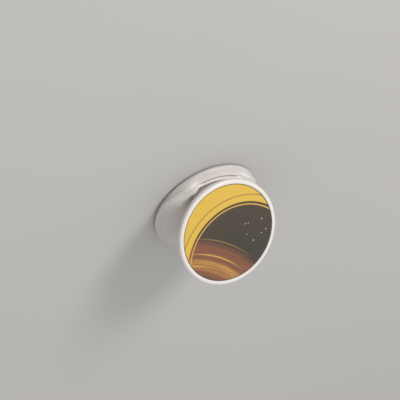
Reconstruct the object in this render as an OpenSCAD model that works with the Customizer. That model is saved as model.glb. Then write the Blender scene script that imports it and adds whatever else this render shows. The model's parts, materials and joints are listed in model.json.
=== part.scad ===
// Collapsible phone grip, standing tilted: one side of its bellows is folded down.
// Millimetres. The origin is the centre of the adhesive face, +Z points away from the phone,
// and the disc leans towards +Y.

/* [Base] */
// Outer diameter of the base, over the bellows' skirt
base_d = 44; // [38:0.5:54]
// Thickness of the adhesive pad
pad_t = 0.8; // [0.6:0.05:1.2]
// How deep the pad is sunk into the underside of the plate
pad_sink = 0.4; // [0.2:0.05:0.5]
// Width of the base outside the pad
pad_margin = 2.4; // [2:0.1:5]
// Thickness of the plate's floor
floor_t = 0.6; // [0.4:0.05:1]
// Radius of the rounded edges of the plate
plate_edge_r = 0.3; // [0.1:0.05:0.4]

/* [Bellows] */
// Width of the foot on the plate, measured across its ring
foot_w = 2.3; // [2:0.1:3]
// Thickness of the skirt that wraps the plate's edge
skirt_t = 1; // [0.8:0.05:1.2]
// Height of the skirt's lower edge above the adhesive face
skirt_h = 0.5; // [0.4:0.05:0.8]
// How far the bead round the foot stands out
bead_out = 0.35; // [0.1:0.05:0.6]
// Height of the bead above the plate
bead_up = 0.55; // [0.4:0.05:0.8]
// Height of the shoulder above the plate, where the straight wall starts
shoulder_up = 0.95; // [0.8:0.05:1.4]
// How much higher the shoulder is pulled on the raised side
pull_up = 1; // [0.4:0.1:1.4]
// Wall thickness of the bellows
wall_t = 1.1; // [0.8:0.05:1.3]
// Wall thickness at the folds, where the wall bends
fold_t = 0.8; // [0.5:0.05:0.9]
// How far inside the base's edge the crest of the fold lies
crest_in = 2.6; // [2:0.1:3]
// Height of the crest above the plate
crest_up = 2.7; // [2.4:0.1:3]
// Depth of the crease between the crest and the lip inside it
crease_t = 0.5; // [0.2:0.05:0.6]
// Height of the lip above the crease
lip_up = 1.4; // [1:0.1:1.6]
// How far inside the crest the valley of the fold lies
valley_in = 4.4; // [4:0.1:5]
// Height of the valley above the plate
valley_up = 1.3; // [1.1:0.05:1.6]
// How far inside the base's edge the ridge's top lies
ridge_in = 0.95; // [0.7:0.05:1.2]
// Height of the ridge's top above the plate
ridge_up = 3.4; // [3:0.1:3.6]
// Width of the ledge inside the ridge
ledge_w = 1.6; // [1:0.1:2]
// Wall thickness of the neck round the collar
neck_t = 1.5; // [1.2:0.1:2]
// Length of the neck below the disc
neck_l = 3.4; // [3:0.1:4]
// Angle from the leaning direction at which the fold ends, on each side
fold_half = 62; // [56:1:66]
// Angle over which the folded wall turns into the straight one
fold_ramp = 28; // [22:1:32]
// Angle from the leaning direction at which the crease ends
crease_half = 34; // [30:1:36]
// Angle from the leaning direction at which the crest starts to rise to the ridge
ridge_from = 22; // [16:1:26]
// Angle from the leaning direction at which the ridge is highest
ridge_at = 38; // [34:1:42]
// Angle from the leaning direction at which the ridge has run down to the shoulder
ridge_to = 71; // [66:1:78]

/* [Collar and post] */
// Outer diameter of the snap collar's sleeve
collar_d = 15.2; // [14:0.1:18]
// Length of the collar below the disc, flange and all
collar_l = 2; // [1.8:0.05:2.4]
// Thickness of the collar's flange
flange_t = 0.5; // [0.3:0.05:0.6]
// Wall thickness between the collar's bore and its sleeve
sleeve_t = 3.55; // [2.5:0.05:4]
// Wall thickness of the post's snap fingers
finger_t = 1.3; // [1:0.1:1.6]
// How far the snap fingers' barb stands out
barb_out = 0.5; // [0.3:0.05:0.7]
// Height of the barb, below the collar
barb_h = 0.7; // [0.5:0.05:1]
// Width of the slots between the snap fingers
slot_w = 1; // [0.8:0.1:1.4]
// How many snap fingers the post has
fingers = 4; // [3:1:6]

/* [Disc] */
// Outer diameter of the top disc
disc_d = 43.3; // [36:0.1:54]
// Thickness of the top disc at its rim
disc_t = 2.4; // [2.2:0.05:3]
// Width of the raised rim round the insert
disc_rim_w = 1.65; // [1.4:0.05:3]
// Radius of the rounded front edge of the disc
disc_front_r = 0.8; // [0.5:0.05:1]
// Radius of the rounded back edge of the disc
disc_back_r = 0.6; // [0.3:0.05:0.7]
// Thickness of the printed insert
insert_t = 0.4; // [0.3:0.05:0.6]
// Depth of the insert's face below the rim
insert_sink = 0.2; // [0.1:0.05:0.3]
// How far the boss on the back of the disc stands out beyond the neck
boss_out = 0.8; // [0.5:0.1:2]
// Depth of the moulded hollow in the back of the disc
hollow_t = 0.5; // [0.3:0.05:0.6]
// Width of the lip round the back of the disc
back_lip_w = 2; // [1.5:0.1:3]

/* [Fold] */
// Angle by which the disc leans, from closed
tilt = 29.1; // [20:0.1:34]
// Clearance between the closed disc and the highest thing under it
closed_gap = 0.1; // [0.1:0.05:2]
// How far beyond the disc's edge the fold's turning axis lies
axis_out = 3.6; // [3:0.1:5]
// Height of the fold's turning axis above the back of the closed disc
axis_up = 1.6; // [1:0.1:3]

/* [Hidden] */

// Clearance between pieces that seat in each other, and between flat faces that slide
fit_gap = 0.1;
// Radial clearance of the turning post in its collar
turn_gap = 0.05;
// Overrun of every cut
overrun = 1;
// Width and height of the rib that locates the bellows' foot
rib_w = 1;
rib_h = 0.5;
// Chamfer on the rib, the boss, the collar and the snap barb
chamfer = 0.3;
// Chamfer on the inside edge of the disc's rim
lip_chamfer = 0.15;
// Steps in a rounded edge, and facets of a whole turn
edge_steps = 6;
turn_facets = 120;
// Angle between two sections of the bellows, plain and where the wall changes shape
plain_step = 5;
ramp_step = 2.5;
// Steps in a rounded bend of the bellows' wall, and in a small one
bend_steps = 4;
small_steps = 3;
// Share of each leg that a bend takes up
bead_bend_share = 0.45;
crest_bend_share = 0.3;
middle_bend_share = 0.42;
neck_bend_share = 0.4;
// How far the shoulder lies inside the base's edge, and where it starts and ends to be pulled up
shoulder_in = 0.15;
pull_from = 110;
pull_to = 160;
// How much thicker than the fold the wall is under the crest
crest_more = 0.2;
// How far the crease lies inside the crest, and the angle over which it ends
crease_in = 0.45;
crease_ramp = 4;
// The ledge's width at the shoulder, and its rise at the ridge and at the shoulder
shoulder_ledge_w = 0.6;
ledge_rise = 0.6;
shoulder_rise = 0.1;
// How far inside the ledge the lip lies, and how much farther in and up on the straight wall
lip_in = 0.65;
straight_in = 0.5;
straight_up = 1;
// Where the straight wall's middle lies between lip and neck, and how far it bows out
middle_share = 0.45;
bow_out = 0.35;
// The direction that the disc leans in, as an angle round the base
lean_at = 90;

full_turn = 360;
quarter = 90;
floor_top = pad_t + floor_t;
plate_bottom_h = pad_t - pad_sink;
foot_r = base_d / 2;
foot_h = floor_top + fit_gap;
disc_r = disc_d / 2;
insert_r = disc_r - disc_rim_w - fit_gap;
recess_t = insert_t + insert_sink;
collar_r = collar_d / 2;
bore_r = collar_r - sleeve_t;
post_r = bore_r - turn_gap;
post_l = collar_l + fit_gap + barb_h;
neck_r = collar_r + fit_gap + neck_t;
neck_top = fit_gap + flange_t + fit_gap;
fold_h = crest_up - crease_t + lip_up;
disc_back_h = floor_top + max(fold_h, post_l) + closed_gap;
axis_y = disc_r + axis_out;
axis_h = disc_back_h + axis_up;

// An arc's points, from angle a0 to angle a1
function arc(x, y, r, a0, a1) =
    [for (k = [0:edge_steps]) let (a = a0 + (a1 - a0) * k / edge_steps)
        [x + r * cos(a), y + r * sin(a)]];

// The share of the way from one value to another that t has come, kept within 0 and 1
function share(t, from, to) = min(max((t - from) / (to - from), 0), 1);

// The same share with a soft start and a soft end
function smooth(t, from, to) = let (s = share(t, from, to)) s * s * (3 - 2 * s);

function mixed(from, to, s) = from + (to - from) * s;

function unit(v) = v / norm(v);

// The angle between direction a and the direction that the disc leans in, 0 to 180
function from_lean(a) =
    let (turn = abs(a - lean_at) % full_turn) min(turn, full_turn - turn);

// How far the wall is folded at angle a round the base: 0 is straight, 1 is folded
function folded(a) = smooth(from_lean(a), fold_half, fold_half - fold_ramp);

// How much of the crease there is: 0 is none, 1 is its full depth
function creased(a) = smooth(from_lean(a), crease_half, crease_half - crease_ramp);

// How far the ridge has run down: 0 is its top, 1 is the shoulder
function run_down(a) = share(from_lean(a), ridge_at, ridge_to);

// A point of the untilted base, given by its radius and height
function at_base(r, h, a) = [r * cos(a), r * sin(a), h];

// A point that leans with the disc, given by its radius and its depth below the disc's back
function at_disc(r, depth, a) =
    let (y = r * sin(a) - axis_y, z = disc_back_h - depth - axis_h)
        [r * cos(a),
         axis_y + y * cos(tilt) + z * sin(tilt),
         axis_h - y * sin(tilt) + z * cos(tilt)];

// The crest of the fold, which rises to a ridge on each side and runs down to the shoulder
function crest(a) =
    let (rise = smooth(from_lean(a), ridge_from, ridge_at),
         high = mixed([crest_in, crest_up], [ridge_in, ridge_up], rise),
         pulled = shoulder_up + pull_up * smooth(from_lean(a), pull_from, pull_to),
         p = mixed(high, [shoulder_in, pulled], run_down(a)))
        at_base(foot_r - p[0], floor_top + p[1], a);

// Inside the crest lies the crease, and inside the ridge a ledge
function ledge(a, top) =
    let (flat = mixed([ledge_w, ledge_rise], [shoulder_ledge_w, shoulder_rise], run_down(a)),
         step = mixed(flat, [crease_in, -crease_t], creased(a)))
        top + at_base(-step[0], step[1], a);

// The lip above the crease, from which the wall leads on to the neck
function lip(a, inside) =
    let (straight = 1 - folded(a))
        inside + at_base(-lip_in - straight_in * straight, lip_up + straight_up * straight, a);

// The straight wall's middle point bows outwards, the folded wall's is the valley
function middle(a, from, neck) =
    let (valley = at_base(foot_r - crest_in - valley_in, floor_top + valley_up, a))
        mixed(mixed(from, neck, middle_share) + at_base(bow_out, 0, a), valley, folded(a));

// The corners of the wall's outer side, from the skirt up to the neck
function outer_corners(a) =
    let (top = crest(a), inside = ledge(a, top), high = lip(a, inside),
         neck = at_disc(neck_r, neck_l, a))
        [at_base(foot_r, skirt_h, a),
         at_base(foot_r + bead_out, floor_top + bead_up, a),
         top,
         inside,
         high,
         middle(a, high, neck),
         neck,
         at_disc(neck_r, neck_top, a)];

// A corner moved inwards, square to the wall, by the thickness t
function inwards(before, corner, after, t, a) =
    let (along = unit(corner - before) + unit(after - corner),
         normal = unit(cross(along, [-sin(a), cos(a), 0])))
        corner + normal * t * 2 / norm(along);

// The corners of the wall's inner side, from the skirt up to the neck
function inner_corners(p, a) =
    [at_base(foot_r - skirt_t, skirt_h, a),
     at_base(foot_r - skirt_t, foot_h, a),
     at_base(foot_r - foot_w, foot_h, a),
     at_base(foot_r - foot_w, floor_top + bead_up, a),
     inwards(p[1], p[2], p[5], fold_t + crest_more, a),
     inwards(p[2], p[5], p[6], mixed(wall_t, fold_t, folded(a)), a),
     at_disc(collar_r + fit_gap, neck_l + wall_t / 2, a),
     at_disc(collar_r + fit_gap, neck_top, a)];

// A bend from leg to leg, which takes up a share of each
function bend(p, i, leg_share, steps) =
    [for (k = [0:steps]) let (t = k / steps,
        from = mixed(p[i], p[i - 1], leg_share), to = mixed(p[i], p[i + 1], leg_share))
        from * (1 - t) * (1 - t) + p[i] * 2 * t * (1 - t) + to * t * t];

// The two bends that both sides of the wall have
function upper_bends(p) =
    concat(bend(p, 5, middle_bend_share, bend_steps), bend(p, 6, neck_bend_share, bend_steps), [p[7]]);

function outer_side(p) =
    concat([p[0]], bend(p, 1, bead_bend_share, bend_steps),
        bend(p, 2, crest_bend_share, small_steps), [p[3]],
        bend(p, 4, crest_bend_share, small_steps), upper_bends(p));

function inner_side(p) =
    concat([p[0], p[1], p[2], p[3]], bend(p, 4, crest_bend_share, bend_steps), upper_bends(p));

function reversed(list) = [for (i = [len(list) - 1:-1:0]) list[i]];

// The wall's whole section at angle a, up the outer side and down the inner one
function section(a) =
    let (outer = outer_corners(a))
        concat(outer_side(outer), reversed(inner_side(inner_corners(outer, a))));

// The angles at which the bellows has a section, closer together where the wall changes shape
function on_ramp(a) = from_lean(a) > ridge_from - ramp_step && from_lean(a) < ridge_to + ramp_step;
section_angles =
    [for (a = [0:ramp_step:full_turn - ramp_step]) if (a % plain_step == 0 || on_ramp(a)) a];

// Joins closed sections round the axis into one hollow ring
module section_ring(angles) {
    rings = [for (a = angles) section(a)];
    n = len(rings);
    m = len(rings[0]);
    quads = [for (i = [0:n - 1], j = [0:m - 1])
        [i * m + j, i * m + (j + 1) % m, (i + 1) % n * m + (j + 1) % m, (i + 1) % n * m + j]];
    polyhedron([for (ring = rings) each ring],
        [for (q = quads) each [[q[0], q[1], q[2]], [q[0], q[2], q[3]]]], convexity = 6);
}

// Leans what is drawn closed, by turning it about the fold's axis
module leaning() {
    translate([0, axis_y, axis_h])
        rotate([-tilt, 0, 0])
            translate([0, -axis_y, disc_back_h - axis_h])
                children();
}

module turned(points) {
    rotate_extrude($fn = turn_facets) polygon(points);
}

// A thin round pad in the plate's underside, which stands a little below it
module adhesive_pad() {
    color("dimgray") cylinder(r = foot_r - pad_margin, h = pad_t, $fn = turn_facets);
}

// A thin plate with a recess for the pad below and a rib that locates the bellows' foot above
module base_plate() {
    r = foot_r - skirt_t - fit_gap;
    recess_r = foot_r - pad_margin + fit_gap;
    rib_r = foot_r - foot_w - fit_gap;
    color("whitesmoke") turned(concat(
        [[0, pad_t], [recess_r, pad_t], [recess_r, plate_bottom_h]],
        arc(r - plate_edge_r, plate_bottom_h + plate_edge_r, plate_edge_r, -quarter, 0),
        arc(r - plate_edge_r, floor_top - plate_edge_r, plate_edge_r, 0, quarter),
        [[rib_r, floor_top], [rib_r, floor_top + rib_h - chamfer],
         [rib_r - chamfer, floor_top + rib_h], [rib_r - rib_w, floor_top + rib_h],
         [rib_r - rib_w, floor_top], [0, floor_top]]));
}

// One soft moulding: skirt, foot, crest, wall and neck, folded down where the disc leans to
module bellows() {
    color("gainsboro") section_ring(section_angles);
}

// A flanged sleeve in the bellows' neck, in whose bore the post turns
module snap_collar() {
    flange_bottom = -fit_gap - flange_t;
    color("silver") leaning() turned([
        [bore_r, -fit_gap], [neck_r, -fit_gap], [neck_r, flange_bottom],
        [collar_r, flange_bottom], [collar_r, -collar_l + chamfer],
        [collar_r - chamfer, -collar_l], [bore_r, -collar_l]]);
}

// The post's slotted end springs through the collar and hooks under it
module snap_post() {
    barb_r = post_r + barb_out;
    barb_top = -collar_l - fit_gap;
    root = (disc_t - recess_t) / 2;
    difference() {
        turned([
            [post_r - finger_t, root], [post_r, root], [post_r, barb_top], [barb_r, barb_top],
            [barb_r, -post_l + chamfer], [barb_r - chamfer, -post_l],
            [post_r - finger_t, -post_l]]);
        for (k = [0:fingers - 1])
            rotate([0, 0, (k + 1 / 2) * full_turn / fingers])
                translate([0, -slot_w / 2, -post_l - overrun])
                    cube([barb_r + overrun, slot_w, post_l - fit_gap + overrun]);
    }
}

// A round button with a raised rim, a hollow back, a boss and the snap post
module top_disc() {
    recess_r = insert_r + fit_gap;
    lip_r = disc_r - back_lip_w;
    boss_r = neck_r + boss_out;
    front_r = min(disc_front_r, disc_t / 2, disc_rim_w / 2);
    back_r = min(disc_back_r, disc_t / 2, back_lip_w / 2);
    color("white") leaning() union() {
        turned(concat(
            [[0, 0], [boss_r, 0], [boss_r + chamfer, hollow_t],
             [lip_r - chamfer, hollow_t], [lip_r, 0]],
            arc(disc_r - back_r, back_r, back_r, -quarter, 0),
            arc(disc_r - front_r, disc_t - front_r, front_r, 0, quarter),
            [[recess_r + lip_chamfer, disc_t], [recess_r, disc_t - lip_chamfer],
             [recess_r, disc_t - recess_t], [0, disc_t - recess_t]]));
        snap_post();
    }
}

// A thin printed disc laid in the recess
module printed_insert() {
    color("goldenrod") leaning()
        translate([0, 0, disc_t - recess_t]) cylinder(r = insert_r, h = insert_t, $fn = turn_facets);
}

adhesive_pad();
base_plate();
bellows();
snap_collar();
top_disc();
printed_insert();
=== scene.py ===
"""Looks of the collapsible phone grip: camera, light, floor, finishes and finer shapes."""

import json
import math

import bmesh
import bpy
from mathutils import Matrix, Vector


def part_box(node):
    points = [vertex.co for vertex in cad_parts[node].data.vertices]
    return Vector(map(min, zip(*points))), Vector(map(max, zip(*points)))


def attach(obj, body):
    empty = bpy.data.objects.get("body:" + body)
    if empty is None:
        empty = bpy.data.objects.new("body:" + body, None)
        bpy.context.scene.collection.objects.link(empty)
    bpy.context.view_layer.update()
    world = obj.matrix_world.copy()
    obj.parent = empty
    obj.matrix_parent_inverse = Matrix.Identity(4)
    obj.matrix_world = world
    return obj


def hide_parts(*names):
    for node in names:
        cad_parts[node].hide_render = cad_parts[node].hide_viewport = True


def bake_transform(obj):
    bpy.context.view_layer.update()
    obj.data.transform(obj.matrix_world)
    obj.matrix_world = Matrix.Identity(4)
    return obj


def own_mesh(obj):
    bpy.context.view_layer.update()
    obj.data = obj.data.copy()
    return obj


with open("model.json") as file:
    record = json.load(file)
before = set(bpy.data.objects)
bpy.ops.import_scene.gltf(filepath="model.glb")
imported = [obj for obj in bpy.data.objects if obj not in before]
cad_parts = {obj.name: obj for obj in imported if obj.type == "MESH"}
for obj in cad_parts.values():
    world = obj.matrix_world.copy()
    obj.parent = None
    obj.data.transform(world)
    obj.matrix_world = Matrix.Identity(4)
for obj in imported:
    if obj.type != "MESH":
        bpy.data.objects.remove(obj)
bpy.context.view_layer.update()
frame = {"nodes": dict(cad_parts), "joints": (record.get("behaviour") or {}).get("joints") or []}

MM = 0.001


# Places that follow from the frame

JOINTS = {joint["name"]: joint for joint in frame["joints"]}
DISC_AXIS = Vector(JOINTS["swivel"]["axis"]).normalized()
DISC_BACK = Vector(JOINTS["swivel"]["pos_m"])
LEAN = math.radians(JOINTS["fold"]["range_deg"][1])
TO_DISC = Matrix.Translation(DISC_BACK) @ Matrix.Rotation(-LEAN, 4, "X")


def half_width(node):
    low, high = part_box(node)
    return (high[0] - low[0]) / 2


PLATE_R = half_width("base_plate")
DISC_R = half_width("top_disc")
INSERT_R = half_width("printed_insert")
NECK_R = half_width("snap_collar")
PAD_R = half_width("adhesive_pad")
PAD_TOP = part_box("adhesive_pad")[1][2]
PLATE_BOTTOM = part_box("base_plate")[0][2]
RIB_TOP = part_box("base_plate")[1][2]


# Camera: it stands where the photograph was taken from

CAMERA_PLACE = Vector((-346.7, 528.2, 397.8)) * MM
CAMERA_RIGHT = Vector((0.866, 0.2317, 0.4432))
CAMERA_UP = Vector((0.1895, 0.6681, -0.7195))
# Both in millimetres, as a Blender camera takes them
SENSOR_WIDTH = 36
FOCAL_LENGTH = 169.9
CLIP_START = 0.01
CLIP_END = 10


def link(thing):
    bpy.context.scene.collection.objects.link(thing)
    return thing


def add_camera():
    data = bpy.data.cameras.new("camera")
    data.sensor_width = SENSOR_WIDTH
    data.lens = FOCAL_LENGTH
    data.clip_start = CLIP_START
    data.clip_end = CLIP_END
    camera = link(bpy.data.objects.new("camera", data))
    right = CAMERA_RIGHT.normalized()
    back = right.cross(CAMERA_UP).normalized()
    turn = Matrix((right, back.cross(right), back)).transposed().to_4x4()
    camera.matrix_world = Matrix.Translation(CAMERA_PLACE) @ turn
    bpy.context.scene.camera = camera


# Shader maths


class Value:
    """A number in a shader. Python's operators on it add Math nodes."""

    def __init__(self, finish, socket):
        self.finish = finish
        self.socket = socket

    def math(self, operation, *others):
        sockets = dict(enumerate((self, *others)))
        node = self.finish.node("ShaderNodeMath", {"operation": operation}, sockets)
        return Value(self.finish, node.outputs[0])

    def __add__(self, other):
        return self.math("ADD", other)

    __radd__ = __add__

    def __sub__(self, other):
        return self.math("SUBTRACT", other)

    def __rsub__(self, other):
        return (self * -1).math("ADD", other)

    def __mul__(self, other):
        return self.math("MULTIPLY", other)

    __rmul__ = __mul__

    def __truediv__(self, other):
        return self.math("DIVIDE", other)

    def __pow__(self, other):
        return self.math("POWER", other)

    def least(self, other):
        return self.math("MINIMUM", other)

    def most(self, other):
        return self.math("MAXIMUM", other)

    def held(self):
        return self.most(0).least(1)

    def step(self, edge, soft):
        """0 below the edge and 1 above it, over a soft width."""
        return ((self - edge) / soft + 0.5).held()

    def band(self, low, high, soft):
        """1 between low and high."""
        return self.step(low, soft) * (1 - self.step(high, soft))


class Finish:
    """A material and its nodes."""

    def __init__(self, name):
        self.material = bpy.data.materials.new(name)
        self.material.use_nodes = True
        self.tree = self.material.node_tree
        self.tree.nodes.clear()

    def node(self, kind, settings=None, sockets=None):
        """Adds a node: its settings first, then the values or links of its sockets."""
        node = self.tree.nodes.new(kind)
        for name, value in (settings or {}).items():
            setattr(node, name, value)
        for key, value in (sockets or {}).items():
            if isinstance(value, Value):
                value = value.socket
            if isinstance(value, bpy.types.NodeSocket):
                self.tree.links.new(value, node.inputs[key])
            else:
                node.inputs[key].default_value = value
        return node

    def place(self):
        """Where a point lies on the grip."""
        return self.node("ShaderNodeTexCoord").outputs["Object"]

    def parts(self, vector):
        """The three numbers of a vector."""
        node = self.node("ShaderNodeSeparateXYZ", sockets={0: vector})
        return [Value(self, socket) for socket in node.outputs]

    def vector(self, *parts):
        return self.node("ShaderNodeCombineXYZ", sockets=dict(enumerate(parts))).outputs[0]

    def noise(self, where, scale, detail=2.0):
        sockets = {"Vector": where, "Scale": scale, "Detail": detail}
        return Value(self, self.node("ShaderNodeTexNoise", sockets=sockets).outputs["Fac"])

    def specks(self, where, scale):
        """Distance from the nearest of many scattered points."""
        sockets = {"Vector": where, "Scale": scale}
        node = self.node("ShaderNodeTexVoronoi", sockets=sockets)
        return Value(self, node.outputs["Distance"])

    def seen(self):
        """1 where a ray shows the surface to the camera, and 0 where it brings its light elsewhere."""
        path = self.node("ShaderNodeLightPath").outputs
        names = ("Is Camera Ray", "Is Glossy Ray", "Is Transmission Ray")
        camera, glossy, through = (Value(self, path[name]) for name in names)
        return camera.most(glossy).most(through)

    def mix(self, factor, first, second):
        sockets = {0: factor, 6: first, 7: second}
        return self.node("ShaderNodeMix", {"data_type": "RGBA"}, sockets).outputs[2]

    def bump(self, height, distance, strength=1.0, normal=None):
        sockets = {"Height": height, "Distance": distance, "Strength": strength}
        if normal is not None:
            sockets["Normal"] = normal
        return self.node("ShaderNodeBump", sockets=sockets).outputs["Normal"]

    def shade(self, **sockets):
        """Ends the material in one Principled shader. Underscores in names stand for spaces."""
        named = {name.replace("_", " "): value for name, value in sockets.items()}
        shader = self.node("ShaderNodeBsdfPrincipled", sockets=named)
        self.node("ShaderNodeOutputMaterial", sockets={"Surface": shader.outputs[0]})
        return self.material


def rgb(red, green, blue):
    """A colour from its 8-bit screen values, as the linear colour that a shader takes."""

    def linear(value):
        share = value / 255
        return share / 12.92 if share <= 0.04045 else ((share + 0.055) / 1.055) ** 2.4

    return (linear(red), linear(green), linear(blue), 1.0)


# Finishes

# Where a noise isn't stretched, its scale counts its grains in a metre
MOULD_MOTTLE_SCALE = 90
MOULD_GRAIN_SCALE = 5200
MOULD_SINK_SCALE = 260
MOULD_GRAIN_DEPTH = 0.02 * MM
MOULD_SINK_DEPTH = 0.05 * MM
# How much the mottling and the grain change the roughness
MOULD_MOTTLE_GLOSS = 0.12
MOULD_GRAIN_GLOSS = 0.08
PLASTIC_IOR = 1.5


def moulded_plastic(name, light, dark, roughness, coat, grain):
    """Injection-moulded plastic: a faint mottling, a very fine grain and a slightly uneven gloss."""
    finish = Finish(name)
    where = finish.place()
    mottle = finish.noise(where, MOULD_MOTTLE_SCALE, detail=3)
    fine = finish.noise(where, MOULD_GRAIN_SCALE, detail=2)
    sink = finish.noise(where, MOULD_SINK_SCALE, detail=1)
    uneven = (mottle - 0.5) * MOULD_MOTTLE_GLOSS + (fine - 0.5) * MOULD_GRAIN_GLOSS
    grainy = finish.bump(fine, MOULD_GRAIN_DEPTH, strength=grain)
    return finish.shade(
        Base_Color=finish.mix(mottle, dark, light),
        Roughness=uneven + roughness,
        IOR=PLASTIC_IOR,
        Coat_Weight=coat,
        Coat_Roughness=0.06,
        Normal=finish.bump(sink, MOULD_SINK_DEPTH, strength=0.25, normal=grainy),
    )


SILK = rgb(220, 214, 209)
SILK_SHADE = rgb(205, 198, 193)
# Painted highlight: a pale colour laid on the crest's lit side
CREST_PAINTED_HIGHLIGHT = rgb(235, 229, 224)
# Painted shade: a dark colour laid in the crease
CREASE_PAINTED_SHADE = rgb(104, 96, 90)
SILK_IOR = 1.45
SILK_GRAIN_SCALE = 3600
SILK_CLOUD_SCALE = 70
SILK_GRAIN_DEPTH = 0.012 * MM
SILK_GRAIN_GLOSS = 0.16
SILK_CLOUD_GLOSS = 0.1
SILK_ROUGHNESS = 0.46
# The flow marks' stretch round the axis, out from it and along it
FLOW_STRETCH = (2.2, 40, 60)
FLOW_SCALE = 3.0
FLOW_DEPTH = 0.05 * MM
PAINTED_HIGHLIGHT_STRENGTH = 0.8
# The painted crease shade's least strength, and how much the clouds add to it
CREASE_SHADE_LEAST = 0.35
CREASE_SHADE_CLOUDY = 0.4
# Bands by (low, high, soft width) and steps by (edge, soft width)
# Where the painted highlight lies along the crest, on the side that the key lamp lights
PAINTED_HIGHLIGHT_RADIUS = (17.6 * MM, 21.6 * MM, 1.2 * MM)
PAINTED_HIGHLIGHT_HEIGHT = (3.3 * MM, 6.3 * MM, 1 * MM)
PAINTED_HIGHLIGHT_FROM = (10 * MM, 5 * MM)
# Where the painted shade lies in the crease
CREASE_RADIUS = (18.55 * MM, 19.15 * MM, 0.2 * MM)
CREASE_TOP = (4 * MM, 0.3 * MM)
CREASE_FROM = (14.5 * MM, 1 * MM)


def soft_elastomer():
    """Silky elastomer: fine grain, faint flow marks, a painted highlight on the crest's lit side and
    painted shade in the crease.
    """
    finish = Finish("soft_elastomer")
    where = finish.place()
    x, y, z = finish.parts(where)
    radius = (x * x + y * y) ** 0.5
    places = (y.math("ARCTAN2", x), radius, z)
    streaks = finish.vector(*(place * share for place, share in zip(places, FLOW_STRETCH)))
    flow = finish.noise(streaks, FLOW_SCALE, detail=3)
    fine = finish.noise(where, SILK_GRAIN_SCALE, detail=3)
    cloud = finish.noise(where, SILK_CLOUD_SCALE, detail=3)
    # Painted highlight: the crest is made paler where the light falls on it
    painted_highlight = radius.band(*PAINTED_HIGHLIGHT_RADIUS) * z.band(*PAINTED_HIGHLIGHT_HEIGHT) * y.step(*PAINTED_HIGHLIGHT_FROM)
    crease = radius.band(*CREASE_RADIUS) * (1 - z.step(*CREASE_TOP)) * y.step(*CREASE_FROM)
    shade = (flow * 0.6 + cloud * 0.4).held()
    body = finish.mix(painted_highlight * PAINTED_HIGHLIGHT_STRENGTH, finish.mix(shade, SILK_SHADE, SILK), CREST_PAINTED_HIGHLIGHT)
    # Painted shade: the crease is darkened, patchy with the clouds, where shade falls in it
    overlay = crease * (CREASE_SHADE_LEAST + cloud * CREASE_SHADE_CLOUDY)
    uneven = (fine - 0.5) * SILK_GRAIN_GLOSS + (cloud - 0.5) * SILK_CLOUD_GLOSS
    flowing = finish.bump(flow, FLOW_DEPTH, strength=0.3)
    return finish.shade(
        Base_Color=finish.mix(overlay, body, CREASE_PAINTED_SHADE),
        Roughness=uneven + SILK_ROUGHNESS,
        IOR=SILK_IOR,
        Subsurface_Weight=0.12,
        Subsurface_Radius=(1.0, 0.85, 0.75),
        Subsurface_Scale=0.6 * MM,
        Normal=finish.bump(fine, SILK_GRAIN_DEPTH, strength=0.5, normal=flowing),
    )


FOAM = rgb(72, 71, 72)
FOAM_SHADE = rgb(52, 52, 54)
FOAM_CELL_SCALE = 3000
FOAM_CELL_WALL = (0.35, 0.4)
FOAM_CELL_DEPTH = 0.05 * MM
FOAM_CLOUD_SCALE = 120


def foam():
    """Dark adhesive foam: small open cells on the cut edge and a tacky sheen."""
    finish = Finish("adhesive_foam")
    where = finish.place()
    cells = finish.specks(where, FOAM_CELL_SCALE).step(*FOAM_CELL_WALL)
    cloud = finish.noise(where, FOAM_CLOUD_SCALE, detail=4)
    return finish.shade(
        Base_Color=finish.mix(cloud, FOAM_SHADE, FOAM),
        Roughness=cells * 0.2 + cloud * 0.15 + 0.5,
        Normal=finish.bump(cells, FOAM_CELL_DEPTH, strength=0.6),
    )


PRINT_YELLOW = rgb(229, 187, 66)
PRINT_GOLD = rgb(229, 172, 70)
PRINT_RUST = rgb(140, 80, 48)
PRINT_DARK = rgb(64, 52, 36)
PRINT_DEEP = rgb(46, 38, 28)
PRINT_PALE = rgb(190, 214, 206)
PRINT_DUST = rgb(235, 230, 222)
PRINT_DUST_SCALE = 2200
PRINT_DUST_STRENGTH = 0.04
PRINT_DUST_GLOSS = 0.05
PRINT_ROUGHNESS = 0.27

# Places and sizes on the print, in insert radii from its centre
CRESCENT_CENTRE = (0.28, -0.62)
CRESCENT_FROM = 1.2
GROUND_FADE = (0.55, 1.1)
CRESCENT_GOLD_LINE = (1.13, 1.155)
CRESCENT_RUST_LINE = (1.33, 1.35)
SWEEP_CENTRE = (-1.15, -2.35)
SWEEP_RUSTY = (1.62, 2.32, 0.16)
SWEEP_LIT = (1.78, 1.98, 0.08)
SWEEP_SPAN = (0.9, 1.35, 0.25)
# The streaks' and the glow's stretch out from the sweeps' centre and round it
STREAK_STRETCH = (30, 2.4)
GLOW_STRETCH = (9, 1.3)
GLOW_PLACE = 3.0
# The sweeps' fine lines, by radius, width and strength
SWEEP_LINES = ((1.55, 0.018, 0.9), (2.08, 0.03, 0.8), (2.4, 0.012, 0.6))
DOTS_CENTRE = (0.62, -0.05)
DOTS_REACH = (0.3, 0.1)
DOTS_SCALE = 7.5
DOT_SIZE = (0.11, 0.05)
# Where the painted shade along the print's edge begins
PRINT_EDGE_SHADE_FROM = 0.985
LINE_SOFT = 0.012


def across_print(finish):
    """The two places across the print, from its centre, in insert radii."""
    scale = 1 / INSERT_R
    sockets = {
        "Vector": finish.place(),
        "Location": Matrix.Rotation(LEAN, 3, "X") @ DISC_BACK * -scale,
        "Rotation": (LEAN, 0, 0),
        "Scale": (scale, scale, scale),
    }
    flat = finish.node("ShaderNodeMapping", {"vector_type": "POINT"}, sockets).outputs[0]
    return finish.parts(flat)[:2]


def away(u, v, centre):
    """Distance from a point of the print."""
    return ((u - centre[0]) ** 2 + (v - centre[1]) ** 2) ** 0.5


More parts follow.
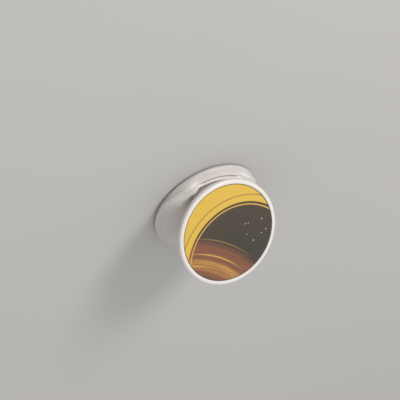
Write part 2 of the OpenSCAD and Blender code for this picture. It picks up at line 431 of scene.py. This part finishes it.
def add_sweeps(finish, colour, u, v):
    """Streaky rust and gold arcs."""
    sweep = away(u, v, SWEEP_CENTRE)
    along = (v - SWEEP_CENTRE[1]).math("ARCTAN2", u - SWEEP_CENTRE[0])
    out, around = STREAK_STRETCH
    streak = finish.noise(finish.vector(sweep * out, along * around, 0.0), 1.0, detail=4)
    out, around = GLOW_STRETCH
    glow = finish.noise(finish.vector(sweep * out, along * around, GLOW_PLACE), 1.0)
    rusty = sweep.band(*SWEEP_RUSTY) * (streak * 1.5 + glow * 0.7 - 0.25).held()
    colour = finish.mix(rusty, colour, PRINT_RUST)
    lit = sweep.band(*SWEEP_LIT) * (streak * 1.7 - 0.35).held()
    colour = finish.mix(lit * 0.9, colour, PRINT_GOLD)
    for radius, width, strength in SWEEP_LINES:
        line = sweep.band(radius, radius + width, LINE_SOFT) * along.band(*SWEEP_SPAN)
        colour = finish.mix(line * strength, colour, PRINT_GOLD)
    return colour


def add_dots(finish, colour, u, v):
    """A few small pale dots on the dark ground."""
    dots = 1 - finish.specks(finish.vector(u, v, 0.0), DOTS_SCALE).step(*DOT_SIZE)
    inside = 1 - away(u, v, DOTS_CENTRE).step(*DOTS_REACH)
    return finish.mix(dots * inside * 0.85, colour, PRINT_PALE)


def printed_film():
    """The insert's glossy print: a gold crescent over a dark ground, with rust and gold sweeps, and
    painted shade along its edge.
    """
    finish = Finish("printed_film")
    u, v = across_print(finish)
    crescent = away(u, v, CRESCENT_CENTRE)
    colour = finish.mix(crescent.step(*GROUND_FADE), PRINT_DEEP, PRINT_DARK)
    colour = add_sweeps(finish, colour, u, v)
    colour = add_dots(finish, colour, u, v)
    colour = finish.mix(crescent.step(CRESCENT_FROM, LINE_SOFT), colour, PRINT_YELLOW)
    colour = finish.mix(crescent.band(*CRESCENT_GOLD_LINE, LINE_SOFT), colour, PRINT_GOLD)
    colour = finish.mix(crescent.band(*CRESCENT_RUST_LINE, LINE_SOFT) * 0.8, colour, PRINT_RUST)
    # Painted shade: a dark line round the print's edge stands in for the shade in the gap between the
    # insert and the rim
    edge = away(u, v, (0, 0)).step(PRINT_EDGE_SHADE_FROM, LINE_SOFT)
    colour = finish.mix(edge * 0.75, colour, PRINT_DEEP)
    overlay = finish.noise(finish.place(), PRINT_DUST_SCALE, detail=3)
    return finish.shade(
        Base_Color=finish.mix(overlay * PRINT_DUST_STRENGTH, colour, PRINT_DUST),
        Roughness=overlay * PRINT_DUST_GLOSS + PRINT_ROUGHNESS,
        IOR=PLASTIC_IOR,
        Coat_Weight=0.35,
        Coat_Roughness=0.05,
    )


# Shapes

SHARP = math.radians(35)
TURN_STEPS = 160
ROUND_STEPS = 6
SAME_PLACE = 1e-7
ON_RING = 1e-6
ON_PLANE = 1e-9


def piece(name, bm, material):
    """Makes an object at the origin from a finished bmesh, smooth but for its sharp edges."""
    for face in bm.faces:
        face.smooth = True
    for edge in bm.edges:
        edge.smooth = edge.is_boundary or edge.calc_face_angle(0) < SHARP
    mesh = bpy.data.meshes.new(name)
    bm.to_mesh(mesh)
    bm.free()
    mesh.materials.append(material)
    return link(bpy.data.objects.new(name, mesh))


def turned(corners, steps=TURN_STEPS, angle=math.tau, start=0.0):
    """Spins an outline of (radius, height, rounding) corners round Z and rounds its corner rings."""
    bm = bmesh.new()
    first = [bm.verts.new((radius, 0, height)) for radius, height, rounding in corners]
    for pair in zip(first, first[1:]):
        bm.edges.new(pair)
    whole = math.isclose(angle, math.tau)
    if not whole:
        bm.faces.new(first)
    bmesh.ops.rotate(bm, verts=bm.verts, cent=(0, 0, 0), matrix=Matrix.Rotation(start, 3, "Z"))
    bmesh.ops.spin(
        bm,
        geom=list(bm.verts) + list(bm.edges) + list(bm.faces),
        cent=(0, 0, 0),
        axis=(0, 0, 1),
        dvec=(0, 0, 0),
        angle=angle,
        steps=steps,
        use_merge=whole,
    )
    bmesh.ops.remove_doubles(bm, verts=bm.verts, dist=SAME_PLACE)
    bmesh.ops.recalc_face_normals(bm, faces=bm.faces)
    for radius, height, rounding in corners:
        if rounding:
            round_ring(bm, radius, height, rounding)
    return bm


def on_ring(vert, radius, height):
    across = math.hypot(vert.co.x, vert.co.y) - radius
    return abs(across) < ON_RING and abs(vert.co.z - height) < ON_RING


def round_ring(bm, radius, height, size):
    """Rounds the ring of edges at a radius and height."""
    ring = [
        edge
        for edge in bm.edges
        if all(on_ring(vert, radius, height) for vert in edge.verts)
    ]
    bmesh.ops.bevel(
        bm,
        geom=ring,
        offset=size,
        offset_type="OFFSET",
        segments=ROUND_STEPS,
        profile=0.5,
        affect="EDGES",
        material=-1,
        clamp_overlap=True,
    )


def leaned(bm):
    """Moves a shape made about Z to the disc's axis, with its foot on the disc's back."""
    bmesh.ops.transform(bm, matrix=TO_DISC, verts=bm.verts)
    return bm


# The base plate

FLOOR_TOP = PAD_TOP + 0.6 * MM
PLATE_EDGE = 0.3 * MM
SEAT_W = 1.3 * MM
RIB_W = 1 * MM
FIT_GAP = 0.1 * MM
SMALL_EDGE = 0.12 * MM


def base_plate(material):
    pad_seat = PAD_R + FIT_GAP
    rib = PLATE_R - SEAT_W
    bm = turned(
        [
            (0, PAD_TOP, 0),
            (pad_seat, PAD_TOP, 0),
            (pad_seat, PLATE_BOTTOM, SMALL_EDGE),
            (PLATE_R, PLATE_BOTTOM, PLATE_EDGE),
            (PLATE_R, FLOOR_TOP, PLATE_EDGE),
            (rib, FLOOR_TOP, 0),
            (rib, RIB_TOP, SMALL_EDGE),
            (rib - RIB_W, RIB_TOP, SMALL_EDGE),
            (rib - RIB_W, FLOOR_TOP, 0),
            (0, FLOOR_TOP, 0),
        ]
    )
    plate = piece("base_plate_moulding", bm, material)
    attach(plate, "base")
    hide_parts("base_plate")


# The top disc and its insert

DISC_T = 2.4 * MM
DISC_RIM_W = 1.65 * MM
DISC_FRONT = 0.8 * MM
DISC_BACK_EDGE = 0.6 * MM
INSERT_T = 0.4 * MM
INSERT_SINK = 0.2 * MM
INSERT_EDGE = 0.06 * MM
BOSS_OUT = 0.8 * MM
HOLLOW_T = 0.5 * MM
BACK_LIP_W = 2 * MM
CHAMFER = 0.3 * MM


def top_disc(material):
    recess = DISC_R - DISC_RIM_W
    recess_floor = DISC_T - INSERT_T - INSERT_SINK
    lip = DISC_R - BACK_LIP_W
    boss = NECK_R + BOSS_OUT
    bm = turned(
        [
            (0, 0, 0),
            (boss, 0, SMALL_EDGE),
            (boss + CHAMFER, HOLLOW_T, SMALL_EDGE),
            (lip - CHAMFER, HOLLOW_T, SMALL_EDGE),
            (lip, 0, SMALL_EDGE),
            (DISC_R, 0, DISC_BACK_EDGE),
            (DISC_R, DISC_T, DISC_FRONT),
            (recess, DISC_T, SMALL_EDGE),
            (recess, recess_floor, 0),
            (0, recess_floor, 0),
        ]
    )
    disc = piece("top_disc_moulding", leaned(bm), material)
    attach(disc, "top")
    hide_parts("top_disc")


FINGERS = 4
SLEEVE_T = 3.55 * MM
TURN_GAP = 0.05 * MM
COLLAR_L = 2 * MM
FINGER_T = 1.3 * MM
BARB_OUT = 0.5 * MM
BARB_H = 0.7 * MM
NECK_T = 1.5 * MM
SLOT_W = 1 * MM
FINGER_STEPS = 12


def snap_fingers(material):
    post = NECK_R - NECK_T - FIT_GAP - SLEEVE_T - TURN_GAP
    inner = post - FINGER_T
    end = -COLLAR_L - FIT_GAP - BARB_H
    barb = post + BARB_OUT
    outline = [
        (inner, 0, 0),
        (post, 0, 0),
        (post, end + BARB_H, 0),
        (barb, end + BARB_H, 0),
        (barb, end + CHAMFER, 0),
        (barb - CHAMFER, end, 0),
        (inner, end, 0),
    ]
    slot = SLOT_W / post
    for k in range(FINGERS):
        start = (k - 0.5) * math.tau / FINGERS + slot / 2
        bm = turned(outline, FINGER_STEPS, math.tau / FINGERS - slot, start)
        finger = piece(f"snap_finger_{k + 1}", leaned(bm), material)
        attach(finger, "top")
        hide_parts("top_disc")


def printed_insert(material):
    floor = DISC_T - INSERT_T - INSERT_SINK
    bm = turned(
        [
            (0, floor, 0),
            (INSERT_R, floor, 0),
            (INSERT_R, floor + INSERT_T, INSERT_EDGE),
            (0, floor + INSERT_T, 0),
        ]
    )
    insert = piece("printed_disc", leaned(bm), material)
    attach(insert, "top")
    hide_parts("printed_insert")


# The bellows

FOOT_TOP = FLOOR_TOP + 0.55 * MM
NECK_CUT = 3.2 * MM
FLAT = math.radians(60)
SMOOTHING = 2

# The ridge's line, as (angle from the leaning direction, radius, height)
RIDGE_LINE = (
    (math.radians(26), 20.2 * MM, 4.5 * MM),
    (math.radians(38), 21.1 * MM, 4.8 * MM),
    (math.radians(54), 21.4 * MM, 3.6 * MM),
    (math.radians(71), 21.8 * MM, 2.4 * MM),
)
# The angles over which it begins to swell and ends
RIDGE_IN = (math.radians(31), math.radians(46))
RIDGE_OUT = (math.radians(68), math.radians(84))
# The ways that it swells and that the wall runs over it, as (radius, height)
SWELL_WAY = Vector((1, 0.5)).normalized()
WALL_WAY = Vector((-1, 1)).normalized()
# Each swelling or hollow beside the ridge's line: how high, how far up from the line, how wide
RIDGE_FORM = (
    (0.6 * MM, 0.5 * MM, 1.15 * MM),
    (-0.2 * MM, -1.6 * MM, 0.8 * MM),
    (-0.12 * MM, 2.4 * MM, 0.9 * MM),
)
RIDGE_REACH = 1.6 * MM


def eased(value, start, end):
    """0 at the start, 1 at the end, soft at both."""
    share = min(max((value - start) / (end - start), 0), 1)
    return share * share * (3 - 2 * share)


def ridge_place(angle):
    """Radius and height of the ridge at an angle from the leaning direction."""
    for (a, *low), (b, *high) in zip(RIDGE_LINE, RIDGE_LINE[1:]):
        if angle <= b:
            break
    share = min(max((angle - a) / (b - a), 0), 1)
    return Vector(low).lerp(Vector(high), share)


def swell_ridge(bm):
    """The soft wall bulges along the ridge and sinks a little beside it."""
    for vert in bm.verts:
        x, y, z = vert.co
        radius = math.hypot(x, y)
        angle = math.acos(y / radius)
        share = eased(angle, *RIDGE_IN) * (1 - eased(angle, *RIDGE_OUT))
        if share == 0:
            continue
        off = Vector((radius, z)) - ridge_place(angle)
        if abs(off.dot(SWELL_WAY)) > RIDGE_REACH:
            continue
        across = off.dot(WALL_WAY)
        height = sum(
            high * math.exp(-(((across - middle) / width) ** 2))
            for high, middle, width in RIDGE_FORM
        )
        move = SWELL_WAY * share * height
        scale = (radius + move.x) / radius
        vert.co = (x * scale, y * scale, z + move.y)


def smooth_bellows():
    """The bellows solid with its triangles joined to quads and subdivided."""
    bm = bmesh.new()
    bm.from_mesh(frame["nodes"]["bellows"].data)
    bmesh.ops.remove_doubles(bm, verts=bm.verts, dist=SAME_PLACE)
    bmesh.ops.join_triangles(
        bm,
        faces=bm.faces,
        angle_face_threshold=FLAT,
        angle_shape_threshold=math.pi,
    )
    mesh = bpy.data.meshes.new("rough_bellows")
    bm.to_mesh(mesh)
    bm.free()
    rough = link(bpy.data.objects.new("rough_bellows", mesh))
    finer = rough.modifiers.new("finer", "SUBSURF")
    finer.levels = finer.render_levels = SMOOTHING
    bpy.context.view_layer.update()
    shown = rough.evaluated_get(bpy.context.evaluated_depsgraph_get())
    bm = bmesh.new()
    bm.from_mesh(shown.to_mesh())
    bpy.data.objects.remove(rough)
    swell_ridge(bm)
    return bm


def cut(bm, place, direction):
    """Keeps what lies on the direction's side of a plane, and closes the cut with a ring."""
    bmesh.ops.bisect_plane(
        bm,
        geom=list(bm.verts) + list(bm.edges) + list(bm.faces),
        dist=ON_PLANE,
        plane_co=place,
        plane_no=direction,
        clear_inner=True,
    )
    bmesh.ops.bridge_loops(bm, edges=[edge for edge in bm.edges if edge.is_boundary])
    return bm


def bellows(material):
    """The bellows in three pieces: a foot and a wall on the base, and a neck."""
    up = Vector((0, 0, 1))
    foot_top = up * FOOT_TOP
    neck_low = DISC_BACK - DISC_AXIS * NECK_CUT
    whole = smooth_bellows()
    parts = {
        "foot": cut(whole.copy(), foot_top, -up),
        "wall": cut(cut(whole.copy(), foot_top, up), neck_low, -DISC_AXIS),
        "neck": cut(whole, neck_low, DISC_AXIS),
    }
    made = {
        name: piece(f"bellows_{name}", bm, material)
        for name, bm in parts.items()
    }
    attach(made["foot"], "base")
    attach(made["wall"], "base")
    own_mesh(made["wall"])
    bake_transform(made["neck"])
    for part in made.values():
        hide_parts("bellows")


# Floor and light

FLOOR_SIZE = 6
FLOOR_PALE = rgb(200, 198, 195)
FLOOR_PALER = rgb(205, 203, 200)
FLOOR_BOUNCE = rgb(149, 148, 146)
FLOOR_CLOUD_SCALE = 6
KEY_FROM = Vector((0.35, 0.85, 0.45))
KEY_DISTANCE = 0.9
KEY_SIZE = 0.3
KEY_POWER = 4.0
WORLD_STRENGTH = 0.62


def add_floor():
    """A pale floor, which throws less light back on the object than its colour would."""
    finish = Finish("pale_floor")
    cloud = finish.noise(finish.place(), FLOOR_CLOUD_SCALE)
    shown = finish.mix(cloud, FLOOR_PALE, FLOOR_PALER)
    material = finish.shade(
        Base_Color=finish.mix(finish.seen(), FLOOR_BOUNCE, shown),
        Roughness=0.7,
    )
    bm = bmesh.new()
    bmesh.ops.create_grid(bm, x_segments=1, y_segments=1, size=FLOOR_SIZE / 2)
    mesh = bpy.data.meshes.new("floor")
    bm.to_mesh(mesh)
    bm.free()
    mesh.materials.append(material)
    link(bpy.data.objects.new("floor", mesh))


def add_lamp(name, towards, distance, size, power):
    data = bpy.data.lights.new(name, "AREA")
    data.shape = "DISK"
    data.size = size
    data.energy = power
    lamp = link(bpy.data.objects.new(name, data))
    lamp.location = towards.normalized() * distance
    lamp.rotation_mode = "QUATERNION"
    lamp.rotation_quaternion = towards.to_track_quat("Z", "Y")


def add_light():
    add_lamp("key", KEY_FROM, KEY_DISTANCE, KEY_SIZE, KEY_POWER)
    world = bpy.data.worlds.new("studio")
    world.use_nodes = True
    background = world.node_tree.nodes["Background"]
    background.inputs["Color"].default_value = (1, 1, 1, 1)
    background.inputs["Strength"].default_value = WORLD_STRENGTH
    bpy.context.scene.world = world
    bpy.context.scene.view_settings.view_transform = "Standard"


def finish_solid(node, material):
    """A node that keeps its CAD mesh gets its finish through its material slots."""
    for slot in frame["nodes"][node].material_slots:
        slot.material = material


add_camera()
add_light()
add_floor()
white_plastic = moulded_plastic(
    "white_plastic",
    light=rgb(242, 236, 231),
    dark=rgb(236, 229, 224),
    roughness=0.3,
    coat=0.2,
    grain=0.25,
)
base_plastic = moulded_plastic(
    "base_plastic",
    light=rgb(228, 225, 222),
    dark=rgb(221, 218, 214),
    roughness=0.36,
    coat=0.1,
    grain=0.3,
)
collar_plastic = moulded_plastic(
    "collar_plastic",
    light=rgb(222, 220, 217),
    dark=rgb(214, 212, 209),
    roughness=0.45,
    coat=0.0,
    grain=0.4,
)
base_plate(base_plastic)
top_disc(white_plastic)
snap_fingers(white_plastic)
printed_insert(printed_film())
bellows(soft_elastomer())
finish_solid("snap_collar", collar_plastic)
finish_solid("adhesive_pad", foam())
